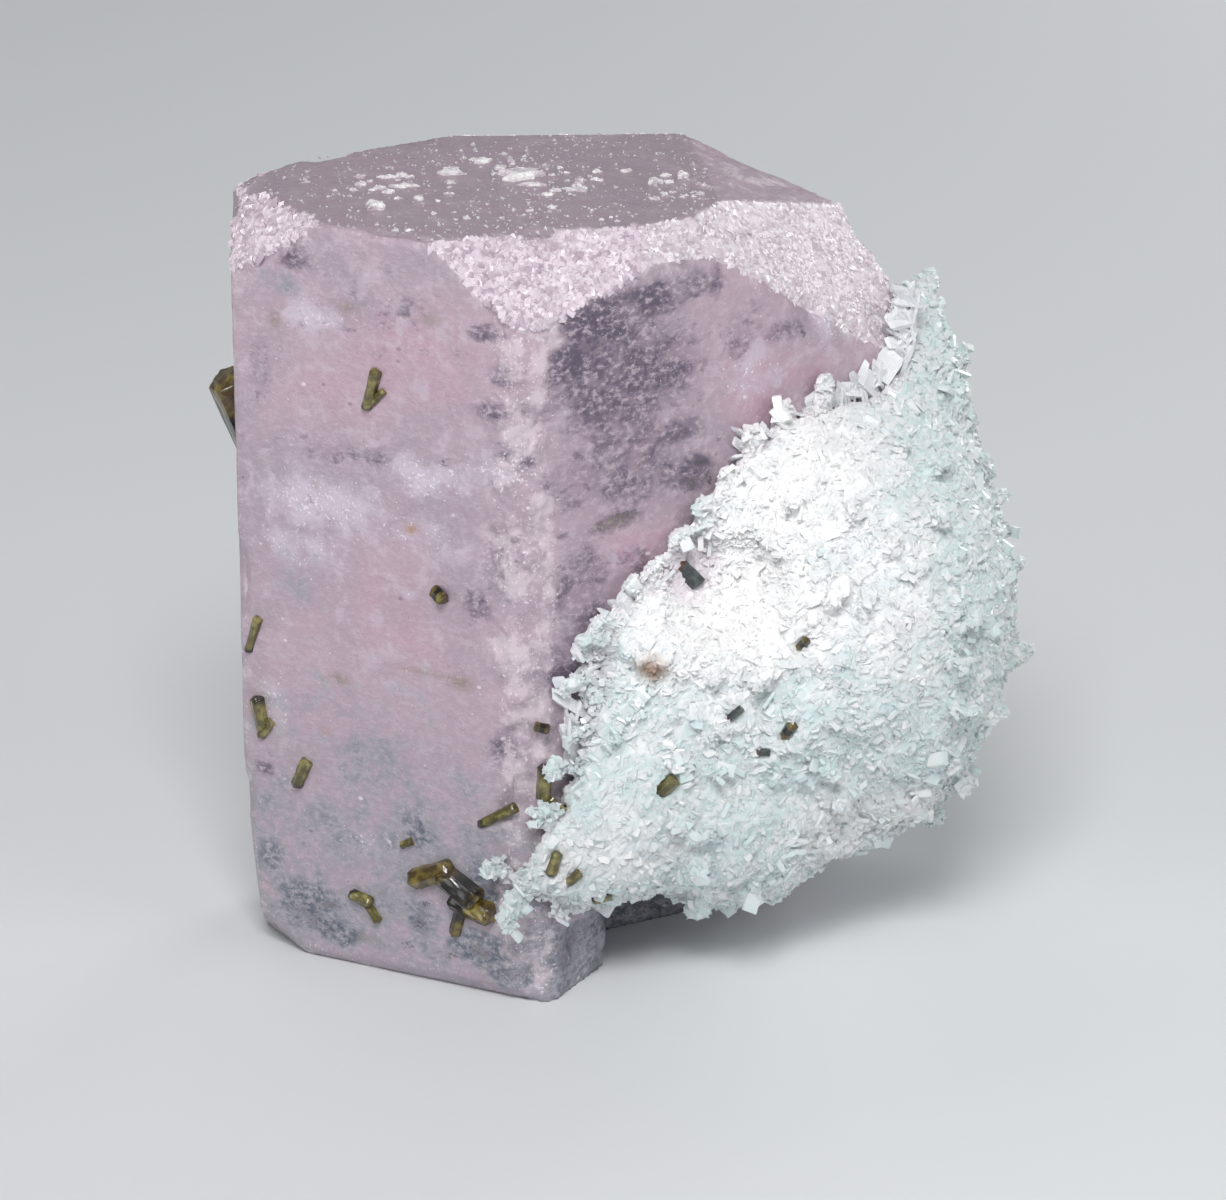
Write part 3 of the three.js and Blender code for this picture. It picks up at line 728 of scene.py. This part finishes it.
def crust_ice(piece, places, tips, tones):
    """Stores how white the ice is at each place, partly painted light on the crust's lit plateau, how
    near a tip it is, its tone, and how thin it is.
    """
    x, _, z = places.T / MM
    white_and_lit = np.zeros(len(places))
    for middle_x, middle_z, half_width, half_height, strength in WHITE_AND_LIT_PATCHES:
        away = np.hypot((x - middle_x) / half_width, (z - middle_z) / half_height)
        white_and_lit = np.maximum(white_and_lit, strength * smoothstep(1.3, 0.3, away))
    white_and_lit = np.clip(white_and_lit + 0.3 * clouds(places, 3.0), 0, 1)
    thin = smoothstep(1.3, 0.2, outside_crystal(places)) * (z > BREAK_CEILING)
    repeats = len(piece.data.vertices) // len(places)
    white_and_lit, thin, tones = (np.repeat(values, repeats) for values in (white_and_lit, thin, tones))
    store(piece.data, "ice", white_and_lit, tips, tones, thin)


crust_ice(crust, points, grain_heights, grain_tones)


def outside_only(places, facing, nearest=0.8, furthest=100):
    """Keeps places this far out from the crystal, off the floor, and outside the tourmalines."""
    outside = outside_crystal(places)
    keep = (outside > nearest) & (outside < furthest) | (places[:, 2] < BREAK_CEILING * MM)
    keep &= (places[:, 2] > FLOOR_GAP) & ~near_tourmalines(places, 0)
    return places[keep], facing[keep]


def leaning(places, facing, together, apart):
    """Growth directions: outwards, leaning together in sheaves and apart at random."""
    sheaf = np.column_stack([clouds(places + shift * MM, 3.5, 2) for shift in (0, 31, 67)])
    return unit(facing + together * sheaf + apart * rng.normal(size=places.shape))


def grow_ice(name, template, faces, tries, lean, sizes, sink, spread, nearest=0.8, furthest=100):
    """Crystals of one form all over the crust, between two distances from the crystal's faces.

    Sizes are the smallest and the largest, and lean is how far they lean together and apart."""
    places, facing = outside_only(*scatter(crust.data, tries), nearest, furthest)
    axes = leaning(places, facing, *lean)
    piece = grow(name, template, faces, places, axes, *sizes, sink, spread)
    crust_ice(piece, places, np.tile(template[:, 2], len(places)), rng.uniform(size=len(places)))
    return piece


sugar = grow_ice(
    "albite_sugar", SHARD, SHARD_FACES, SUGAR_TRIES, lean=(0.6, 0.5),
    sizes=((0.3, 0.25, 0.35), (0.62, 0.55, 0.75)), sink=0.6, spread=0.15,
)
grit = grow_ice(
    "albite_grit", CHISEL, CHISEL_FACES, GRIT_TRIES, lean=(0.9, 0.6),
    sizes=((0.28, 0.2, 0.4), (0.6, 0.4, 0.9)), sink=0.6, spread=0.15,
)
blades = grow_ice(
    "albite_blades", BLADE, BLADE_FACES, BLADE_TRIES, lean=(1.4, 0.5),
    sizes=((0.35, 0.16, 0.75), (0.85, 0.34, 1.5)), sink=0.72, spread=0.15,
)
rime = grow_ice(
    "albite_rime", CHISEL, CHISEL_FACES, RIME_TRIES, lean=(0.3, 0.3),
    sizes=((0.25, 0.2, 0.25), (0.6, 0.45, 0.5)), sink=0.7, spread=0.1, nearest=0.1, furthest=1.1,
)

# The rim blades start a little inside the crust's edge on the pink face and point up and away from it.
stops = np.linspace(0, len(RIM) - 1, RIM_BLADE_TRIES) + rng.uniform(-0.05, 0.05, RIM_BLADE_TRIES)
rim_side = np.interp(stops, range(len(RIM)), [side for side, _ in RIM])
rim_side += rng.uniform(-0.4, 0.9, RIM_BLADE_TRIES)
rim_height = np.interp(stops, range(len(RIM)), [height for _, height in RIM])
rim_height -= rng.uniform(-0.3, 0.7, RIM_BLADE_TRIES)
turn = np.radians(rng.normal(122, 34, RIM_BLADE_TRIES))
tilt = rng.uniform(0.02, 0.3, RIM_BLADE_TRIES)
roots = np.outer(rim_side, sideways) + np.outer(rim_height, upwards) + (reach + 0.2) * outwards
axes = unit(np.outer(np.cos(turn), sideways) + np.outer(np.sin(turn), upwards) + np.outer(tilt, outwards))
clear = ~near_tourmalines((roots + axes) * MM, 0.9)
rim_blades = grow(
    "albite_rim_blades", BLADE, BLADE_FACES, roots[clear] * MM, axes[clear],
    smallest=(0.4, 0.12, 0.8), largest=(1.0, 0.25, 2.3), sink=0.3,
)

ICE_WHITE = paint(250, 250, 250)
AQUA = paint(230, 235, 237)
SEA_GREEN_SHADE = paint(212, 231, 231)
RUST = paint(158, 112, 66)
RUST_SPOT = (4.8, -13.2, 23.2)
# The middle of the rounded mass that the crust makes, and its share in how each grain is shaded.
MASS_MIDDLE = (8.0, 0.0, 20.0)
MASS_SHARE = 0.9
icy_albite, tree, shader = new_material("icy_albite")
place = place_in_mm(tree)
white_and_lit, tip, each, thin = stored(tree, "ice")
# The ice runs from sea green through aqua to white: its own icy colour, with painted shade at the grains'
# roots and in the hollows, and painted light on the whitest patches.
root_shade_and_tone = plus(tree, times(tree, tip, 0.3), times(tree, each, 0.25))
bright = plus(tree, times(tree, white_and_lit, 0.7), root_shade_and_tone)
colour = tint(tree, between(tree, bright, 0.0, 0.45), SEA_GREEN_SHADE, AQUA)
colour = tint(tree, between(tree, bright, 0.25, 0.85), colour, ICE_WHITE)
colour = tint(tree, times(tree, thin, 0.55), colour, PALE_PINK)
from_rust = node(tree, "VectorMath", {0: place, 1: RUST_SPOT}, operation="DISTANCE").outputs["Value"]
colour = tint(tree, times(tree, between(tree, from_rust, 1.6, 0.4), 0.75), colour, RUST)
tree.links.new(colour, shader.inputs["Base Color"])
tree.links.new(plus(tree, 0.15, times(tree, each, 0.3)), shader.inputs["Roughness"])
shader.subsurface_method = "BURLEY"
shader.inputs["IOR"].default_value = ALBITE_IOR
shader.inputs["Subsurface Weight"].default_value = 0.2
shader.inputs["Subsurface Radius"].default_value = (0.8, 1.0, 1.0)
shader.inputs["Subsurface Scale"].default_value = 0.0018
# Light spreads between the grains, so each is shaded partly as the rounded mass around it.
own = node(tree, "NewGeometry").outputs["Normal"]
from_middle = node(tree, "VectorMath", {0: place, 1: MASS_MIDDLE}, operation="SUBTRACT").outputs[0]
mass = node(tree, "VectorMath", {0: from_middle}, operation="NORMALIZE").outputs[0]
shared = node(tree, "VectorMath", {0: mass, "Scale": MASS_SHARE}, operation="SCALE").outputs[0]
blend = node(tree, "VectorMath", {0: own, 1: shared}, operation="ADD").outputs[0]
softened = node(tree, "VectorMath", {0: blend}, operation="NORMALIZE").outputs[0]
tree.links.new(softened, shader.inputs["Normal"])

CLEAR_COOL = paint(236, 238, 243)
CLEAR_WHITE = paint(253, 253, 254)
clear_albite, tree, shader = new_material("clear_albite")
frosting = cloud_node(tree, place_in_mm(tree), 1.2, 3.0)
clear_colour = tint(tree, frosting, CLEAR_COOL, CLEAR_WHITE)
tree.links.new(clear_colour, shader.inputs["Base Color"])
tree.links.new(times(tree, frosting, 0.5), shader.inputs["Roughness"])
shader.inputs["IOR"].default_value = ALBITE_IOR
shader.inputs["Transmission Weight"].default_value = 0.15
for piece in (crust, sugar, grit, blades, rime, rim_blades):
    piece.data.materials.append(clear_albite if piece is rim_blades else icy_albite)
    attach(piece, "root")
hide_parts("albite_crust")


# White flakes and grains of albite stuck on the crystal's flat top: a few plates up to three
# millimetres across, and about a thousand grains finer than sugar.
TOP = 51.0
SMALL_FLAKE_COUNT = 46
GRAIN_COUNT = 1100
FLAKE_SIDES = 13
FLAKE_DULL = paint(196, 182, 190)
FLAKE_WHITE = paint(240, 238, 238)
# The larger flakes: x, y, width, depth and thickness. Small ones are added at random around them.
FLAKES = [
    (-2.8, 3.6, 3.3, 2.6, 0.5), (-7.5, 4.5, 1.8, 1.6, 0.3), (-12.2, -3.2, 1.6, 1.9, 0.5),
    (0.5, 0.4, 1.7, 1.3, 0.2), (-5.4, 7.0, 1.6, 1.3, 0.25), (5.6, 1.6, 0.9, 1.3, 0.4),
    (7.4, 3.0, 0.8, 1.1, 0.4), (-9.6, -1.4, 0.7, 0.9, 0.25), (-13.4, 2.0, 0.8, 0.8, 0.2),
    (-10.6, 1.4, 1.9, 0.8, 0.2), (-2.4, 1.4, 2.2, 0.6, 0.2), (-11.6, 3.6, 2.2, 0.7, 0.15),
]
for _ in range(SMALL_FLAKE_COUNT):
    angle = rng.uniform(0, 2 * math.pi)
    away = rng.uniform(0, 1) ** 0.5
    width = rng.uniform(0.3, 1.0)
    x = 13 * away * math.cos(angle) - 4
    y = 7 * away * math.sin(angle) + 1
    FLAKES.append((x, y, width, width * rng.uniform(0.5, 1.2), 0.2 * width))
# Each flake has three rings of points: one in the crystal, one at its rim and one around its top.
flake_points = []
flake_faces = []
for x, y, width, depth, thickness in FLAKES:
    start = len(flake_points)
    spread = rng.uniform(0.45, 1.2, FLAKE_SIDES)
    for share, z in ((1.0, -0.1), (0.97, thickness * 0.45), (0.66, thickness * 0.8)):
        for i in range(FLAKE_SIDES):
            angle = 2 * math.pi * i / FLAKE_SIDES
            flake_points.append((
                (x + 0.5 * width * share * spread[i] * math.cos(angle)) * MM,
                (y + 0.5 * depth * share * spread[i] * math.sin(angle)) * MM,
                (TOP + z + rng.uniform(-0.06, 0.06) * (z > 0)) * MM,
            ))
    flake_faces.append(tuple(start + i for i in reversed(range(FLAKE_SIDES))))
    flake_faces.append(tuple(start + 2 * FLAKE_SIDES + i for i in range(FLAKE_SIDES)))
    for ring in (start, start + FLAKE_SIDES):
        for i in range(FLAKE_SIDES):
            j = (i + 1) % FLAKE_SIDES
            over = ring + FLAKE_SIDES
            flake_faces.append((ring + i, ring + j, over + j, over + i))
flake_mesh = bpy.data.meshes.new("top_flakes")
flake_mesh.from_pydata(flake_points, [], flake_faces)
flakes = object_from("top_flakes", flake_mesh)
flake_white, tree, shader = new_material("flake_albite")
cloudy = cloud_node(tree, place_in_mm(tree), 1.0, 4.0, 0.65)
flake_colour = tint(tree, between(tree, cloudy, 0.35, 0.65), FLAKE_DULL, FLAKE_WHITE)
tree.links.new(flake_colour, shader.inputs["Base Color"])
pits = cloud_node(tree, place_in_mm(tree), 3.0, 3.0)
bump = node(tree, "Bump", {"Height": pits, "Strength": 0.6, "Distance": 0.0003})
tree.links.new(bump.outputs[0], shader.inputs["Normal"])
shader.inputs["Roughness"].default_value = 0.35
shader.inputs["IOR"].default_value = ALBITE_IOR

low, high = (np.array(corner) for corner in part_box("morganite_crystal"))
tries = 4 * GRAIN_COUNT
across = rng.uniform(low[0], high[0], tries)
back = rng.uniform(low[1], high[1], tries)
places = np.column_stack((across, back, np.full(tries, TOP * MM)))
inside = (face_reaches[None, :] - places @ face_normals.T + 1e-5 > 0).all(axis=1)
thick = clouds(places, 6.0, 2) + rng.uniform(-0.6, 0.6, len(places)) > -0.2
places = places[inside & thick][:GRAIN_COUNT]
axes = unit(np.array((0, 0, 1.0)) + 0.7 * rng.normal(size=places.shape))
grains = grow(
    "top_grains", CHISEL, CHISEL_FACES, places, axes,
    smallest=(0.06, 0.05, 0.06), largest=(0.3, 0.2, 0.2), sink=0.4,
)
crust_ice(grains, places, np.tile(CHISEL[:, 2], len(places)), rng.uniform(size=len(places)))
for piece, finish in ((flakes, flake_white), (grains, icy_albite)):
    piece.data.materials.append(finish)
    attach(piece, "root")


# Tourmalines: glassy prisms with fine grooves along them, olive to brown, some with dark ends.
# They grew into the crystal and the crust, and sit half sunk in them.
ROD_SPLITS = 3
SHARP_EDGE = math.radians(30)
TOURMALINE_IOR = 1.63
# The way the dark end points. On the others it is the left end.
DARK_END = {
    "tourmaline_toe_rod": (1, 0, -1),
    "tourmaline_edge_upright": (0, 0, 1),
    "tourmaline_pair": (0, 0, -1),
}


def tourmaline_material(name, light, deep, end, dark_at):
    """Stored growth is the place along the rod, from 0 to 1, and the height of its grooves."""
    material, tree, shader = new_material(name)
    along, groove, _, _ = stored(tree, "growth")
    smoke = cloud_node(tree, place_in_mm(tree), 1.3, 3.0)
    depth = plus(tree, smoke, times(tree, groove, 0.3))
    colour = tint(tree, between(tree, depth, 0.4, 0.75), light, deep)
    wavering = plus(tree, along, times(tree, smoke, 0.3))
    from_dark = maths(tree, "ABSOLUTE", maths(tree, "SUBTRACT", wavering, dark_at + 0.15))
    colour = tint(tree, between(tree, from_dark, 0.26, 0.1), colour, end)
    tree.links.new(colour, shader.inputs["Base Color"])
    tree.links.new(plus(tree, 0.1, times(tree, smoke, 0.25)), shader.inputs["Roughness"])
    shader.inputs["IOR"].default_value = TOURMALINE_IOR
    shader.inputs["Coat Weight"].default_value = 0.2
    return material


# For each kind: its light and deep colours, the colour of the dark band, and where the band lies.
KINDS = {
    "olive_tourmaline": (paint(146, 138, 80), paint(82, 74, 38), paint(36, 30, 20), 1.05),
    "brown_tourmaline": (paint(132, 118, 54), paint(70, 54, 26), paint(18, 14, 10), 0.45),
    "grey_tourmaline": (paint(98, 108, 100), paint(52, 58, 60), paint(110, 62, 52), 1.05),
}
finishes = {kind: tourmaline_material(kind, *looks) for kind, looks in KINDS.items()}
for part in frame["record"]["subparts"]:
    if part["material_slot"] not in finishes:
        continue
    name = part["node"]
    rod = object_from(name + "_grown", frame["nodes"][name].data.copy())
    rod.data.materials.clear()
    weld = rod.modifiers.new("weld", "WELD")
    weld.merge_threshold = 0.001 * MM
    split = rod.modifiers.new("split", "SUBSURF")
    split.subdivision_type = "SIMPLE"
    split.levels = ROD_SPLITS
    bake_modifiers(rod)
    points = points_of(rod.data)
    middle = points.mean(axis=0)
    axis = np.linalg.svd(points - middle, full_matrices=False)[2][0]
    if axis @ DARK_END.get(name, (-1, 0, 0)) < 0:
        axis = -axis
    distance = (points - middle) @ axis
    along = (distance - distance.min()) / (distance.max() - distance.min())
    groove = clouds(points - 0.92 * np.outer(distance, axis), 0.35, 2)
    lift = 0.035 * groove + 0.05 * clouds(points, 0.8, 2)
    store(rod.data, "growth", along, groove * 0.5 + 0.5)
    reshape(rod.data, points + normals_of(rod.data) * lift[:, None] * MM)
    rod.data.set_sharp_from_angle(angle=SHARP_EDGE)
    rod.data.materials.append(finishes[part["material_slot"]])
    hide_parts(name)
    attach(rod, "root")


# Studio: a pale floor, soft boxes in front, to both sides and behind, and the camera where the
# photograph was taken from, a little above the specimen and facing its front edge.
floor_mesh = bpy.data.meshes.new("floor")
floor_mesh.from_pydata([(-3, -3, 0), (3, -3, 0), (3, 3, 0), (-3, 3, 0)], [], [(0, 1, 2, 3)])
floor = object_from("floor", floor_mesh)
floor_material, tree, shader = new_material("pale_floor")
shader.inputs["Base Color"].default_value = paint(221, 223, 225)
shader.inputs["Roughness"].default_value = 0.7
floor_mesh.materials.append(floor_material)


def soft_box(name, place, aim, size, power):
    """A rectangular lamp at a place, turned to an aim, in metres and watts."""
    light = bpy.data.lights.new(name, "AREA")
    light.shape = "RECTANGLE"
    light.size, light.size_y = size
    light.energy = power
    lamp = object_from(name, light)
    lamp.location = place
    lamp.rotation_euler = (Vector(aim) - Vector(place)).to_track_quat("-Z", "Y").to_euler()


SPECIMEN_MIDDLE = (0.003, 0, 0.024)
soft_box("key", (-0.03, -0.37, 0.43), SPECIMEN_MIDDLE, (0.22, 0.16), 2.15)
soft_box("left_fill", (-0.4, -0.3, 0.16), SPECIMEN_MIDDLE, (0.25, 0.3), 0.5)
soft_box("right_fill", (0.4, -0.26, 0.2), SPECIMEN_MIDDLE, (0.2, 0.3), 0.4)
soft_box("back_rim", (-0.1, 0.3, 0.5), SPECIMEN_MIDDLE, (0.3, 0.2), 0.25)
soft_box("back_fill", (0.33, 0.43, 0.15), SPECIMEN_MIDDLE, (0.28, 0.25), 1.0)
world = bpy.data.worlds.new("studio")
world.use_nodes = True
world.node_tree.nodes["Background"].inputs["Color"].default_value = (0.92, 0.96, 1.0, 1.0)
world.node_tree.nodes["Background"].inputs["Strength"].default_value = 0.2
bpy.context.scene.world = world

AZIMUTH = math.radians(-2)
ELEVATION = math.radians(21)
DISTANCE = 0.34
TARGET = Vector((0.00282, 0, 0.02293))
IMAGE_WIDTH = 1226
FOCAL_PIXELS = 5151
camera_data = bpy.data.cameras.new("camera")
camera_data.sensor_width = 36
camera_data.lens = camera_data.sensor_width * FOCAL_PIXELS / IMAGE_WIDTH
camera_data.clip_start = 0.01
camera = object_from("camera", camera_data)
level = math.cos(ELEVATION)
towards = Vector((math.sin(AZIMUTH) * level, -math.cos(AZIMUTH) * level, math.sin(ELEVATION)))
camera.location = TARGET + DISTANCE * towards
camera.rotation_euler = towards.to_track_quat("Z", "Y").to_euler()
bpy.context.scene.camera = camera
bpy.context.scene.view_settings.view_transform = "Standard"
